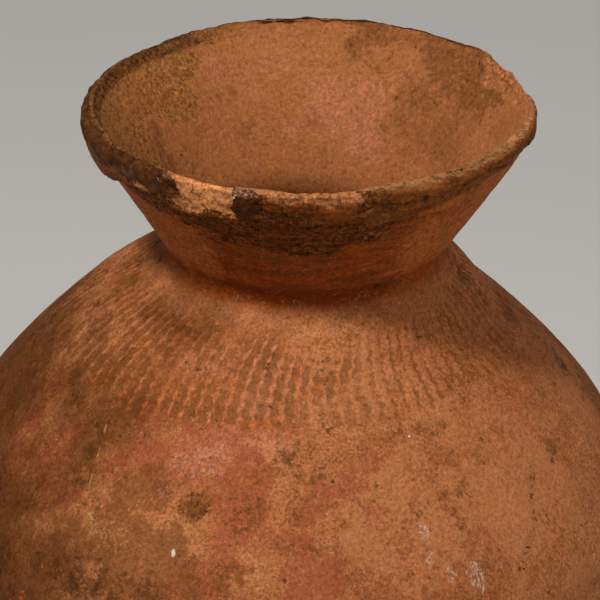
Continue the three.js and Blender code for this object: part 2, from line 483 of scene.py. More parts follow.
# Patches inside the collar, and the chips in the inner edge of the lip
INSIDE_PATCHES = {
    "ochre": (
        (-104, 486, 66, 30, 1.0),
        (-130, 480, 20, 24, 1.0),
        (-84, 464, 40, 20, 0.8),
        (-62, 482, 20, 20, 0.8),
        (-152, 493, 24, 9, 0.75),
    ),
    "dull": (
        (140, 483, 38, 20, 1.0),
        (128, 474, 22, 16, 0.9),
        (138, 462, 26, 12, 0.55),
        (152, 489, 26, 12, 0.8),
        (-100, 452, 42, 15, 1.0),
        (150, 455, 10, 14, 0.3),
    ),
    "pink": (
        (166, 448, 24, 20, 0.8),
        (-168, 470, 22, 18, 0.5),
        (-150, 474, 8, 12, 0.7),
        (150, 470, 12, 8, 0.4),
    ),
    "brown": (
        (127, 450, 26, 15, 0.65),
        (97, 474, 18, 12, 0.6),
        (-154, 463, 3, 3.5, 1.0),
        (-115, 455, 14, 9, 0.7),
        (-90, 468, 12, 8, 0.6),
        (176, 444, 8, 6, 0.4),
        (-178, 486, 8, 3, 0.5),
    ),
}
CHIPS_INSIDE = (
    (117, 488, 8, 7, 1.0),
    (108, 488, 9, 6, 1.0),
    (97, 490, 12, 5, 1.0),
    (82, 491, 12, 4, 1.0),
    (66, 491, 9, 5, 1.0),
)
RAGGED = {"scab": 0.4, "ochre": 1.3, "dull": 1.3}  # how far the edges of a patch wander, where it isn't 1


# Relief of the clay. Each face gives its lift out of the plain wall, and masks for the finish


def patch_masks(spot, tables):
    """A mask of ragged patches for each table of places."""
    return {name: spot.patches(places, RAGGED.get(name, 1.0)) for name, places in tables.items()}


def hand_lift(spot):
    """The unevenness of a wall shaped by hand. The foot stays flat."""
    wall = spot.wall
    waves = 0.42 * spot.rough(85, 2, 11) + 0.17 * spot.rough(22, 3, 12)
    grain = 0.06 * spot.rough(2.6, 2, 13) + 0.04 * spot.strokes(45, 2.6, 16)
    pits = ramp(lattice(spot.point / 3.4, 14), 0.62, 0.85) * ramp(spot.rough(55, 2, 15), -0.3, 0.4)
    off_girth = 1.0 - np.exp(-(((spot.reach - wall.belly) / 45) ** 2))
    below_neck = 1.0 - ramp(spot.reach, wall.shoulder_top, wall.collar_foot)
    swell = 0.45 * (1.0 - spot.on_lip) + 0.6 * below_neck * spot.sector(*FULL_SHOULDER)
    mean = -0.75 + off_girth * swell
    return (mean + waves + grain - 0.32 * pits) * ramp(spot.point[:, 2], 4, 30)


def swayed(spot, points):
    """Pushes the rim out of round, level."""
    high = ramp(spot.reach, spot.wall.shoulder_top, spot.wall.lip)
    push = high * np.interp(spot.degrees, SWAY_BEARINGS, SWAY_PUSHES)
    points[:, 0] += push * np.sin(spot.bearing)
    points[:, 1] -= push * np.cos(spot.bearing)


def flared_open(spot, points):
    """Cuts the inner corner of the lip back, so that the inside runs straight up to a narrow crest."""
    wall = spot.wall
    inward, upward = -wall.flare[1], wall.flare[0]
    radius = np.hypot(spot.point[:, 0] - wall.sizes.neck_offset, spot.point[:, 1])
    over = (radius - wall.inner_top[0]) * inward + (spot.point[:, 2] - wall.inner_top[1]) * upward
    cut = (0.88 - 0.45 * spot.sector(*THICK_RIM)) * np.maximum(over, 0.0)
    points[:, 0] -= cut * inward * np.sin(spot.bearing)
    points[:, 1] += cut * inward * np.cos(spot.bearing)
    points[:, 2] -= cut * upward


def impressed_marks(spot):
    """Grooves in columns that a carved roller left on the shoulder, the ridges between them, their zone."""
    sizes = spot.wall.sizes
    zone = between(spot.reach + 3.4 * spot.rough(15, 4, 21), sizes.marks_low, sizes.marks_high, 3.0)
    wander = 0.22 * spot.rough(21, 3, 23)
    column = spot.bearing / FULL_TURN * sizes.marks_columns + wander
    index = np.floor(column)
    stagger = round(0.17 * sizes.marks_columns) / sizes.marks_columns
    row = (spot.reach - sizes.marks_low) / sizes.marks_pitch + stagger * index + 2.4 * wander
    bead = 0.5 + 0.5 * np.cos(FULL_TURN * row)
    offset = np.abs(column - index - 0.5 + 0.09 * np.sin(FULL_TURN * row)) + 0.07 * spot.rough(4, 2, 24)
    faint = spot.sector(*FAINT_MARKS)
    half = (0.35 + 0.05 * bead) * (1.0 - 0.5 * faint)
    groove = (1.0 - ramp(offset, half - 0.16, half + 0.07)) * (0.75 + 0.25 * bead)
    ridge = ramp(offset, half + 0.02, half + 0.14)
    wear = 0.55 + 0.45 * ramp(spot.rough(24, 4, 22), -0.7, 0.2)
    left = zone * wear * (1.0 - 0.9 * spot.patches(MARKS_RUBBED))
    gaps = ramp(spot.rough(7, 3, 25), -1.0, 0.0)
    dulled = (1.0 - 0.75 * faint) * (1.0 - 0.5 * spot.sector(*DULL_MARKS))
    return groove * left, ridge * left * gaps * dulled, zone


def body_finish(spot):
    """Where slip, wear and stain lie: in set patches at the front, and in free ones all round. Also the
    darker left side, partly darker clay and partly painted shade.
    """
    masks = patch_masks(spot, BODY_PATCHES)
    free = 1.0 - 0.7 * spot.sector(*FRONT)
    for name, (strength, size, octaves, seed, low, high) in FREE_PATCHES.items():
        loose = strength * free * ramp(spot.rough(size, octaves, seed), low, high)
        masks[name] = np.maximum(masks[name], loose)
    # Painted shade on the left side, laid over darker clay there
    shaded = spot.sector(*SHADED_SIDE) * (0.9 + 0.25 * spot.rough(45, 3, 77))
    shaded = shaded * (1.0 - 0.6 * ramp(spot.reach, 352, 392))
    masks["umber"] = np.maximum(shaded, 0.7 * spot.sector(*SHADED_NECK) * ramp(spot.reach, 388, 404))
    return masks


def smoke(spot):
    """The smoked zone outside the collar, 1 where it is dark."""
    edge = np.interp(spot.degrees, SMOKE_BEARINGS, SMOKE_DEPTHS)
    ragged = 4.0 * spot.rough(16, 4, 31) + 2.0 * spot.strokes(14, 1.6, 34)
    return 1.0 - ramp(ragged - spot.above_lip, edge - 7, edge + 4)


def lip_breaks(spot):
    """Clay lost from the lip, and masks of its fresh breaks, its chipped and fraying crest, which at the
    front is partly a painted highlight, and its worn strip.
    """
    up = spot.above_lip
    chunks = spot.rough(4, 3, 41)
    warp = 1.8 * spot.rough(6, 3, 42)
    crest = between(up + warp, -3.2, 8.5, 2)
    left = spot.sector(-39, -14, 3, warp) * (1.0 - ramp(spot.degrees + 0.25 * warp, -19.2, -18.6))
    left = left * between(up + 1.4 * warp, -13, 7, 2.5)
    front = spot.sector(-7, 13.4, 1.2, warp) * crest
    # At the front the crest is drawn lighter: partly worn clay, partly a painted highlight
    frayed_and_glint = spot.sector(-10, 13.4, 1.2, warp) * crest
    worn = spot.sector(2.5, 13.4, 3, warp) * between(up + 1.2 * warp, -11, -2, 2)
    back = spot.sector(97, 122, 3, warp) * between(up + 1.2 * warp, -13, 14, 2)
    right = spot.sector(58, 97, 8, warp) * between(up + warp, 1, 9, 2)
    nick = spot.sector(-176.6, -174, 0.8) * between(up, 3, 9, 1.5)
    loss = left * (1.1 + 0.6 * chunks) + front * (0.7 + 0.5 * chunks)
    loss = loss + back * (1.0 + 0.7 * chunks) + 1.3 * nick
    blotch = ramp(spot.rough(6, 4, 44), -0.8, 0.3)
    raw = np.clip(left * (0.7 + 0.3 * blotch), 0.0, 1.0)
    # The fray mask is worn and chipped crest, and at the front partly a painted highlight
    fray = frayed_and_glint * (0.85 + 0.15 * blotch) + back * (0.7 + 0.3 * blotch) + 0.8 * right * blotch
    return np.maximum(loss, 0.0), {"raw": raw, "fray": fray, "worn": worn}


def lip_lift(spot):
    """Hand-shaped unevenness of the lip, above its seam."""
    return spot.on_lip * 0.45 * (spot.rough(9, 3, 43) - 0.6)


def shoulder_face(spot):
    """Relief and finish of the body, with the impressed band and the dusty ledge below the neck."""
    wall = spot.wall
    grooves, ridges, zone = impressed_marks(spot)
    masks = {"marks": grooves, "ridges": ridges, "marks_zone": zone, **body_finish(spot)}
    dusty = np.maximum(spot.sector(*DUSTY_LEFT), 0.6 * spot.sector(*DUSTY_RIGHT))
    masks["dust"] = dusty * between(spot.reach, wall.shoulder_top - 8, wall.shoulder_top + 3, 5)
    full = 0.5 * between(spot.reach, 382, 398, 5)
    pinched = 1.9 * between(spot.reach, 404, 428, 5)
    lift = hand_lift(spot) - wall.sizes.marks_depth * grooves
    lift = lift + masks["scab"] * 0.3 * spot.rough(3, 2, 76) + spot.sector(*PINCHED_NECK) * (full - pinched)
    return lift, masks


def collar_face(spot):
    """Wiping strokes, smoke, painted light on the sides of the neck and painted shadow in its crease, outside
    the neck and the collar.
    """
    wall = spot.wall
    outside = 1.0 - spot.inner_crest
    bright = np.maximum(spot.sector(*LIT_NECK_LEFT), 0.9 * spot.sector(*LIT_NECK_RIGHT))
    smoked = smoke(spot) * ramp(spot.reach, wall.shoulder_top, wall.collar_seam) * outside
    masks = {
        "outside_collar": ramp(spot.reach, wall.shoulder_top - 1, wall.shoulder_top + 7) * outside,
        # Painted light on the sides of the neck
        "bright_neck": bright * ramp(spot.reach, wall.collar_foot - 6, wall.collar_foot + 8) * outside,
        # Painted shadow in the crease below the collar
        "crease": spot.sector(*SHADOWED_CREASE) * between(spot.reach, 420, 429, 3.5),
        "smoke": smoked,
    }
    wiped = ramp(spot.reach, wall.neck_seam, wall.shoulder_top) * 0.16 * spot.strokes(30, 1.8, 33)
    return wiped + smoked * (0.22 * spot.rough(3.4, 3, 32) - 0.05), masks


def lip_face(spot):
    """Breaks, dirt and crust on the outside and the crest of the lip."""
    lost, masks = lip_breaks(spot)
    dirty = spot.sector(*DIRTY_CREST) * ramp(spot.above_lip, 0.4, 1.6)
    masks["dirt"] = dirty * (0.75 + 0.5 * spot.rough(5, 3, 45))
    left = spot.sector(*CRUSTED_LEFT) * (1.0 - spot.inner_crest)
    crusted = np.maximum(left, 0.8 * spot.sector(*CRUSTED_RIGHT))
    masks["crusted"] = spot.on_lip * (1.0 - masks["raw"]) * crusted
    return lip_lift(spot) - lost, masks


def outer_face(spot):
    """Relief and finish of the outside of the wall."""
    lift, masks = shoulder_face(spot)
    for seam, face in ((spot.wall.neck_seam, collar_face), (spot.wall.lip_seam, lip_face)):
        if spot.reach.max() > seam:
            more, finish = face(spot)
            lift = lift + more
            masks.update(finish)
    return lift, masks


def inner_face(spot):
    """Relief and finish of the inside, with rough patches inside the collar and a chipped edge."""
    wall = spot.wall
    masks = patch_masks(spot, INSIDE_PATCHES)
    masks["inside_collar"] = ramp(spot.reach, wall.neck_seam, wall.collar_seam)
    lift = hand_lift(spot) + 0.05 * spot.strokes(40, 2, 53)
    lift = lift + masks["ochre"] * (0.2 * spot.rough(2.2, 2, 52) - 0.15)
    if spot.reach.max() > wall.lip_seam:
        chipped = ramp(spot.patches(CHIPS_INSIDE, 0.7), 0.3, 0.6)
        lift = lift - chipped * (1.1 + 0.5 * spot.rough(4, 3, 54))
        masks["chipped"] = chipped
        masks["grime"] = spot.sector(*GRIMY_INSIDE) * ramp(spot.reach, wall.lip - 5, wall.lip - 1)
    return lift, masks


# Turning a section into a piece

TURN_RADIUS = 10.0  # least radius in millimetres that a plain section is turned at
SCREW_MERGE = 0.001 * MM
DOUBLES_GAP = 0.002 * MM
SMOOTH_ANGLE = math.radians(38)
LAP_STEPS = np.array([1 / 3, 2 / 3])  # points across a lapped joint, from the outer face


def set_mask(mesh, name, values):
    """Stores a value at each point of a mesh for its material."""
    layer = mesh.attributes.new(name, "FLOAT", "POINT")
    layer.data.foreach_set("value", values.astype(np.float32))


def get_mask(mesh, name):
    """Values that set_mask stored."""
    values = np.zeros(len(mesh.vertices), dtype=np.float32)
    mesh.attributes[name].data.foreach_get("value", values)
    return values.astype(float)


def put_points(mesh, points):
    """Moves the points of a mesh to places in millimetres."""
    mesh.vertices.foreach_set("co", (points * MM).astype(np.float32).ravel())


def bearings(mesh):
    """Bearing of each point round the upright axis."""
    points = np.zeros(len(mesh.vertices) * 3, dtype=np.float32)
    mesh.vertices.foreach_get("co", points)
    points = points.reshape(-1, 3).astype(float)
    return np.arctan2(points[:, 0], -points[:, 1])


def rows(start, end, step):
    """Evenly spaced places from start to end, both kept."""
    return np.linspace(start, end, max(2, round(abs(end - start) / step) + 1))


def open_on_axis(piece, last):
    """Deletes the edge of a section that runs up the upright axis, from its first point to its last."""
    bpy.ops.object.mode_set(mode="EDIT")
    bpy.ops.mesh.select_mode(type="EDGE")
    bpy.ops.mesh.select_all(action="DESELECT")
    bpy.ops.object.mode_set(mode="OBJECT")
    for edge in piece.data.edges:
        edge.select = set(edge.vertices) == {0, last}
    bpy.ops.object.mode_set(mode="EDIT")
    bpy.ops.mesh.delete(type="EDGE")
    bpy.ops.object.mode_set(mode="OBJECT")


def turned_section(name, section, notes, columns, start=0.0, sweep=FULL_TURN, open_axis=False):
    """Shapes a circle into a section and turns it about the upright axis. Notes ride on its points."""
    whole = sweep == FULL_TURN
    bpy.ops.object.select_all(action="DESELECT")
    bpy.ops.mesh.primitive_circle_add(vertices=len(section), radius=TURN_RADIUS * MM, enter_editmode=False)
    piece = bpy.context.object
    piece.name = piece.data.name = name
    across, height = section.T
    put_points(piece.data, np.stack([across * math.sin(start), -across * math.cos(start), height], axis=1))
    for key, values in notes.items():
        set_mask(piece.data, key, values)
    if open_axis:
        open_on_axis(piece, len(section) - 1)
    turn = piece.modifiers.new("Turn", "SCREW")
    turn.axis = "Z"
    turn.angle = sweep
    turn.steps = turn.render_steps = columns
    turn.use_merge_vertices = whole
    turn.merge_threshold = SCREW_MERGE
    bpy.ops.object.modifier_apply(modifier="Turn")
    bpy.ops.object.mode_set(mode="EDIT")
    bpy.ops.mesh.select_mode(type="VERT")
    if not whole:
        bpy.ops.mesh.select_all(action="DESELECT")
        bpy.ops.mesh.select_non_manifold(extend=False)
        bpy.ops.mesh.edge_face_add()
    bpy.ops.mesh.select_all(action="SELECT")
    bpy.ops.mesh.remove_doubles(threshold=DOUBLES_GAP)
    bpy.ops.mesh.normals_make_consistent(inside=False)
    bpy.ops.object.mode_set(mode="OBJECT")
    return piece


def finish_piece(piece, points, cad_node, material):
    """Moves the points to their places, smooths the faces and puts the piece in for its node."""
    put_points(piece.data, points)
    piece.data.update()
    bpy.ops.object.select_all(action="DESELECT")
    piece.select_set(True)
    bpy.context.view_layer.objects.active = piece
    bpy.ops.object.shade_smooth_by_angle(angle=SMOOTH_ANGLE)
    piece.data.materials.clear()
    piece.data.materials.append(material)
    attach(piece, "root")
    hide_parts(cad_node)


def lapped_section(wall, outer, inner, at_top=True, at_foot=True):
    """A closed section as reach and side, from its two faces and the lapped joints between them."""
    parts = [(outer, np.zeros(len(outer)))]
    if at_top:
        parts.append((outer[-1] + wall.sizes.lap * LAP_STEPS, LAP_STEPS))
    parts.append((inner, np.ones(len(inner))))
    if at_foot:
        parts.append((outer[0] + wall.sizes.lap * (1.0 - LAP_STEPS), 1.0 - LAP_STEPS))
    return [np.concatenate(values) for values in zip(*parts)]


def clay_ring(cad_node, material, wall, section, columns, open_axis=False):
    """One ring of the wall, from its section as reach and side, with the relief of both faces."""
    reach, side = section
    across, _, height = wall.place(reach, side * wall.thickness(reach), np.full(len(reach), math.pi / 2)).T
    across = np.maximum(across, 0.0) if open_axis else across - across.min() + TURN_RADIUS
    notes = {"reach": reach, "side": side}
    plain = np.stack([across, height], axis=1)
    piece = turned_section(cad_node + "_clay", plain, notes, columns, open_axis=open_axis)
    mesh = piece.data
    spot = Spot(wall, get_mask(mesh, "reach"), get_mask(mesh, "side"), bearings(mesh))
    behind = np.where(spot.reach > wall.lip, wall.lip + wall.crest_end - spot.reach, spot.reach)
    outer, outer_masks = outer_face(spot)
    inner, inner_masks = inner_face(Spot(wall, behind, np.ones(len(behind)), spot.bearing))
    lift = (1.0 - spot.side) * outer + spot.side * inner
    points = wall.place(spot.reach, spot.depth - (1.0 - 2.0 * spot.side) * lift, spot.bearing)
    swayed(spot, points)
    flared_open(spot, points)
    outside = spot.side < 0.5
    for key, values in outer_masks.items():
        set_mask(mesh, key, values * outside)
    for key, values in inner_masks.items():
        set_mask(mesh, key, values * np.where(outside, spot.inner_crest, 1.0))
    finish_piece(piece, points, cad_node, material)


def coil_run(names, slot, material, wall, start, end, columns, outer_step, inner_step):
    """A run of like coils between two places on the wall, named from the lowest."""
    ends = np.linspace(start, end, len(names) + 1)
    for name, low, high in zip(names, ends, ends[1:]):
        outer = rows(low, high, outer_step)
        inner = rows(high + wall.sizes.lap, low + wall.sizes.lap, inner_step)
        clay_ring(name, material, wall, lapped_section(wall, outer, inner), columns)


def numbered(name, count):
    """Names of like pieces, counted from 1."""
    return [f"{name}_{number}" for number in range(1, count + 1)]


# The lip band


class BandLength(NamedTuple):
    """One length of the lip band. Bearings are in degrees."""

    start: float
    end: float
    bearings: tuple  # where the next three are given
    hangs: tuple  # how far it hangs below the shoulder of the lip
    tops: tuple  # how far it runs up over the crest
    shares: tuple  # its share of the full thickness
    jag: float  # how far its broken ends wander, in degrees
    soft: float  # share of its height over which it thins out downwards


BAND_LENGTHS = {
    "lip_band_front": BandLength(
        -18.9, -11.0, (-18.9, -15, -11), (13, 12, 8), (5.4, 5, 4), (0.8, 0.6, 0.1), 0.8, 0.8
    ),
    "lip_band_right": BandLength(
        13.4,
        98.0,
        (14, 20, 26, 33, 41, 55, 75, 98),
        (17.5, 17.5, 16.5, 14, 10.5, 8.5, 7, 5),
        (4.6, 4.6, 4.6, 4.6, 4.6, 4.8, 4.8, 4),
        (0.12, 0.4, 0.8, 0.95, 0.9, 0.8, 0.6, 0.1),
        2.0,
        0.14,
    ),
    "lip_band_left": BandLength(
        120.0,
        323.0,
        (120, 135, 180, 235, 255, 270, 285, 298, 311, 323),
        (6, 8, 7.5, 8, 10, 15, 18, 16, 12, 8),
        (5.4, 6.4, 6.4, 4.4, 3, 3, 3.4, 4.2, 5.2, 5),
        (0.1, 0.5, 0.55, 0.3, 0.3, 0.6, 0.95, 0.9, 0.5, 0.05),
        2.0,
        0.22,
    ),
}
BAND_COLUMNS = 3.2  # in each degree
LEAST_BAND_COLUMNS = 24
BAND_ROWS = 40
BAND_EDGE_ROWS = 6
BAND_RING = (90.0, 340.0, 2.0)  # radius, height and half thickness of the plain ring that a length starts as
JAG_REACH = 4.0  # degrees from a broken end that wander with it
BACK_SINK = 1.1  # how deep the back of the band lies in the lip


def plain_band(name, band):
    """A length of plain ring. Its points note their share of the band's height, and how far out they lie."""
    rise = rows(0.0, 1.0, 1 / BAND_ROWS)
    edge = np.linspace(0.0, 1.0, BAND_EDGE_ROWS)[1:-1]
    share = np.concatenate([rise, np.ones(len(edge)), rise[::-1], np.zeros(len(edge))])
    cover = np.concatenate([np.ones(len(rise)), 1.0 - edge, np.zeros(len(rise)), edge])
    turn = FULL_TURN * np.arange(len(share)) / len(share)
    radius, height, thick = BAND_RING
    section = np.stack([radius + thick * np.cos(turn), height + thick * np.sin(turn)], axis=1)
    columns = max(LEAST_BAND_COLUMNS, round((band.end - band.start) * BAND_COLUMNS))
    notes = {"share": share, "cover": cover}
    sweep = math.radians(band.end - band.start)
    return turned_section(name, section, notes, columns, math.radians(band.start), sweep)


def band_piece(cad_node, material, wall):
    """One length of the strip round the lip. Its edges sink into the lip, so that they come out ragged."""
    band = BAND_LENGTHS[cad_node]
    front = cad_node == "lip_band_front"
    piece = plain_band(cad_node + "_clay", band)
    mesh = piece.data
    share = get_mask(mesh, "share")
    cover = get_mask(mesh, "cover")
    bearing = bearings(mesh)
    turned = (np.degrees(bearing) - band.start + 0.5) % 360.0 - 0.5
    to_far_end = band.end - band.start - turned
    to_end = np.minimum(turned, to_far_end)
    flat = np.stack([np.cos(bearing), np.sin(bearing), 0 * bearing], axis=1)
    at = turned + band.start
    low = np.interp(at, band.bearings, band.hangs) + 1.6 * rough(flat, 0.1, 4, 61)
    top = np.interp(at, band.bearings, band.tops) + 0.9 * rough(flat, 0.08, 4, 62)
    full = np.interp(at, band.bearings, band.shares)
    ends = np.stack([share * 5, 0 * share, (turned > to_far_end) * 9.0], axis=1)
    jag = np.radians(band.jag * rough(ends, 1.0, 3, 63))
    bearing = bearing + jag * np.clip(1.0 - to_end / JAG_REACH, 0.0, 1.0)
    spot = Spot(wall, wall.lip - low + share * (low + top), np.zeros(len(share)), bearing)
    lumps = spot.rough(9, 4, 64)
    bumps = spot.rough(2.6, 2, 65)
    arris = 1.3 + 0.9 * rough(flat, 0.09, 3, 66)
    over = ramp(spot.above_lip, arris - 1.2, arris + 1.8)
    roll = -3.4 + 1.5 * rough(flat, 0.1, 3, 67)
    body = ramp(share, 0.0, band.soft) * (1.0 - 0.97 * over) * full
    if cad_node == "lip_band_right":
        body = body * (0.3 + 0.7 * ramp(spot.above_lip, roll - 0.6, roll + 0.6))
    sink = 1.0 - ramp(np.minimum(share, 1.0 - share) * (low + top), 0.0, 1.6)
    faded = ramp(to_far_end, 0.0, 3.0) if front else ramp(to_end, 0.0, 2.5)
    sink = np.maximum(sink, 1.0 - faded)
    thick = wall.sizes.band_thickness * body + (0.25 + 0.3 * full * (1.0 - over)) * lumps
    thick = thick + 0.22 * bumps + 0.3 - 0.75 * sink
    edge = cover * np.maximum(thick, 0.0) - BACK_SINK * (1.0 - cover)
    thick = np.where(cover == 1.0, thick, edge)
    lift = np.minimum(hand_lift(spot) + lip_lift(spot) + thick, wall.sizes.band_thickness)
    points = wall.place(spot.reach, -lift, bearing)
    swayed(spot, points)
    flared_open(spot, points)
    points[:, 2] = np.minimum(points[:, 2], wall.sizes.height)
    dark = np.maximum(1.0 - spot.sector(14, 125, 8), 0.12)
    strip = np.maximum(front, ramp(spot.above_lip + 3.0 * lumps, -7, -2.5))
    # Painted shadow under the overhang of the crest on the right band
    arris_shadow = between(spot.above_lip, roll - 1.0, roll + 0.5, 0.4)
    set_mask(mesh, "rub", ramp(lumps + 0.6 * bumps, -0.2, 0.7))
    set_mask(mesh, "dark", dark * strip)
    # The arris mask carries that painted shadow
    set_mask(mesh, "arris", arris_shadow * spot.sector(17, 72, 5))
    set_mask(mesh, "crest", over)
    set_mask(mesh, "raw", spot.sector(60, 98, 8) * over)
    finish_piece(piece, points, cad_node, material)


# Shader nodes


class Nodes:
    """A shader node tree, with short words for the nodes that the clay needs."""

    NODES_IN_ROW = 12
    NODE_WIDTH = 180
    NODE_HEIGHT = 220

    def __init__(self, tree):
        self.tree = tree
        self.at = None  # the place that textures are read at

    def join(self, target, value):
        """Joins a value, a colour or another node's output to a socket."""
        if isinstance(value, bpy.types.NodeSocket):
            self.tree.links.new(value, target)
        elif target.type == "RGBA":
            target.default_value = (*value, 1.0)
        else:
            target.default_value = value

    def new(self, kind, inputs=None, **settings):
        """A new node with its settings and inputs."""
        made = self.tree.nodes.new(kind)
        row, column = divmod(len(self.tree.nodes), self.NODES_IN_ROW)
        made.location = (self.NODE_WIDTH * column, -self.NODE_HEIGHT * row)
        for key, value in settings.items():
            setattr(made, key, value)
        for key, value in (inputs or {}).items():
            self.join(made.inputs[key], value)
        return made

    def mix(self, share, first, second, blend="MIX"):
        """Blends two colours."""
        settings = {"data_type": "RGBA", "blend_type": blend, "clamp_factor": True}
        return self.new("ShaderNodeMix", {0: share, 6: first, 7: second}, **settings).outputs[2]

    def maths(self, operation, first, second, clamp=False):
        """One step of arithmetic."""
        settings = {"operation": operation, "use_clamp": clamp}
        return self.new("ShaderNodeMath", {0: first, 1: second}, **settings).outputs[0]

    def plus(self, first, second):
        """One value added to another."""
        return self.maths("ADD", first, second)

    def minus(self, first, second):
        """One value less another."""
        return self.maths("SUBTRACT", first, second)

    def times(self, first, second):
        """One value times another."""
        return self.maths("MULTIPLY", first, second)

    def step(self, value, low, high):
        """Smooth step from 0 at low to 1 at high."""
        inputs = {"Value": value, "From Min": low, "From Max": high}
        return self.new("ShaderNodeMapRange", inputs, interpolation_type="SMOOTHSTEP").outputs[0]

    def vector(self, operation, first, second):
        """One step of vector arithmetic. The second of a SCALE is a number."""
        inputs = {0: first, "Scale" if operation == "SCALE" else 1: second}
        made = self.new("ShaderNodeVectorMath", inputs, operation=operation)
        return made.outputs["Value" if operation in ("LENGTH", "DISTANCE", "DOT_PRODUCT") else "Vector"]

    def noise(self, scale, detail=2.0, roughness=0.5, distortion=0.0, at=None):
        """A noise texture's value, at the tree's own place unless another is given."""
        inputs = {"Vector": self.at if at is None else at, "Scale": scale, "Detail": detail}
        inputs.update({"Roughness": roughness, "Distortion": distortion})
        return self.new("ShaderNodeTexNoise", inputs).outputs[0]

    def spread(self, value, amount):
        """A noise value turned into a shade about 1."""
        return self.plus(self.times(value, amount), 1.0 - amount / 2)

    def shaded(self, colour, shade):
        """A colour times a shade."""
        grey = self.new("ShaderNodeCombineColor", {0: shade, 1: shade, 2: shade}).outputs[0]
        return self.mix(1.0, colour, grey, "MULTIPLY")

    def mask(self, name):
        """A mask that is stored on the piece."""
        return self.new("ShaderNodeAttribute", attribute_name=name).outputs["Fac"]

    def effect(self, name, **inputs):
        """Places a shared effect at this tree's own place, and gives its one output."""
        group = bpy.data.node_groups.get(name) or EFFECTS[name](name)
        return self.new("ShaderNodeGroup", {"Vector": self.at, **inputs}, node_tree=group).outputs[0]


VECTOR = "NodeSocketVector"
VALUE = "NodeSocketFloat"
COLOUR = "NodeSocketColor"


class EffectGroup(Nodes):
    """A shader node group with a place and other named inputs, and one output."""

    def __init__(self, name, output, kind, **inputs):
        super().__init__(bpy.data.node_groups.new(name, "ShaderNodeTree"))
        for label, socket_type in {"Vector": VECTOR, **inputs}.items():
            self.tree.interface.new_socket(name=label, in_out="INPUT", socket_type=socket_type)
        self.tree.interface.new_socket(name=output, in_out="OUTPUT", socket_type=kind)
        self.given = self.new("NodeGroupInput").outputs
        self.at = self.given["Vector"]

    def done(self, result):
        """Joins the result to the output and gives the group."""
        self.join(self.new("NodeGroupOutput").inputs[0], result)
        return self.tree


def mottle_group(name):
    """Patchy clay: two body colours with clouds and a fine grain of light and dark."""
    group = EffectGroup(name, "Color", COLOUR, Brown=COLOUR, Tan=COLOUR)
    broad = group.step(group.noise(17.0, 4.0, 0.55, 0.6), 0.36, 0.64)
    small = group.step(group.noise(210.0, 5.0, 0.7), 0.4, 0.62)
    share = group.plus(group.times(broad, 0.7), group.times(small, 0.3))
    body = group.mix(share, group.given["Brown"], group.given["Tan"])
    fine = group.spread(group.noise(800.0, 4.0, 0.8), 3.4)
    clouds = group.spread(group.noise(130.0, 6.0, 0.7), 0.9)
    return group.done(group.shaded(body, group.times(fine, clouds)))


def specks_group(name):
    """Scattered specks, each a small ragged spot."""
    group = EffectGroup(name, "Mask", VALUE, Spacing=VALUE, Share=VALUE, Size=VALUE)
    inputs = {"Vector": group.at, "Scale": group.given["Spacing"]}
    cells = group.new("ShaderNodeTexVoronoi", inputs).outputs
    picked = group.new("ShaderNodeSeparateColor", {0: cells["Color"]}).outputs
    chosen = group.maths("LESS_THAN", picked[0], group.given["Share"])
    reach = group.plus(group.times(group.given["Size"], picked[1]), 0.01)
    ragged = group.times(group.minus(group.noise(900.0), 0.5), 0.35)
    away = group.maths("DIVIDE", group.plus(cells["Distance"], ragged), reach)
    spot = group.minus(1.0, group.step(away, 0.6, 1.0))
    return group.done(group.times(spot, chosen))


def patch_group(name):
    """A ragged patch round one place."""
    group = EffectGroup(name, "Mask", VALUE, Centre=VECTOR, Size=VECTOR, Rag=VALUE, Lumps=VALUE)
    off = group.vector("SUBTRACT", group.at, group.given["Centre"])
    away = group.vector("LENGTH", group.vector("DIVIDE", off, group.given["Size"]), (0.0, 0.0, 0.0))
    lumps = group.minus(group.noise(group.given["Lumps"], 5.0, 0.65, 0.4), 0.5)
    ragged = group.times(lumps, group.times(group.given["Rag"], 4.0))
    return group.done(group.step(group.plus(away, ragged), 1.15, 0.75))


def scratch_group(name):
    """A thin broken line between two places."""
    group = EffectGroup(name, "Mask", VALUE, Start=VECTOR, End=VECTOR, Width=VALUE)
    inputs = {"Vector": group.at, "Scale": 90.0, "Detail": 2.0}
    lean = group.new("ShaderNodeTexNoise", inputs).outputs["Color"]
    wander = group.vector("SCALE", group.vector("SUBTRACT", lean, (0.5, 0.5, 0.5)), 0.005)
    along = group.vector("SUBTRACT", group.given["End"], group.given["Start"])
    away = group.vector("SUBTRACT", group.vector("ADD", group.at, wander), group.given["Start"])
    full = group.vector("DOT_PRODUCT", along, along)
    share = group.maths("DIVIDE", group.vector("DOT_PRODUCT", away, along), full, clamp=True)
    off = group.vector("DISTANCE", away, group.vector("SCALE", along, share))
    line = group.minus(1.0, group.step(group.maths("DIVIDE", off, group.given["Width"]), 0.4, 1.0))
    gaps = group.step(group.noise(260.0, 3.0), 0.32, 0.5)
    return group.done(group.times(line, gaps))


def grain_group(name):
    """Height of the clay's fine grain and pits."""
    group = EffectGroup(name, "Height", VALUE, Coarse=VALUE)
    fine = group.times(group.noise(1500.0, 3.0, 0.65), 0.5)
    middle = group.times(group.noise(420.0, 4.0, 0.6), group.given["Coarse"])
    pits = group.new("ShaderNodeTexVoronoi", {"Vector": group.at, "Scale": 380.0}).outputs["Distance"]
    pit = group.times(group.step(pits, 0.0, 0.22), 0.35)
    return group.done(group.plus(group.plus(fine, middle), pit))


EFFECTS = {
    "Mottle": mottle_group,
    "Specks": specks_group,
    "Patch": patch_group,
    "Scratch": scratch_group,
    "Grain": grain_group,
}


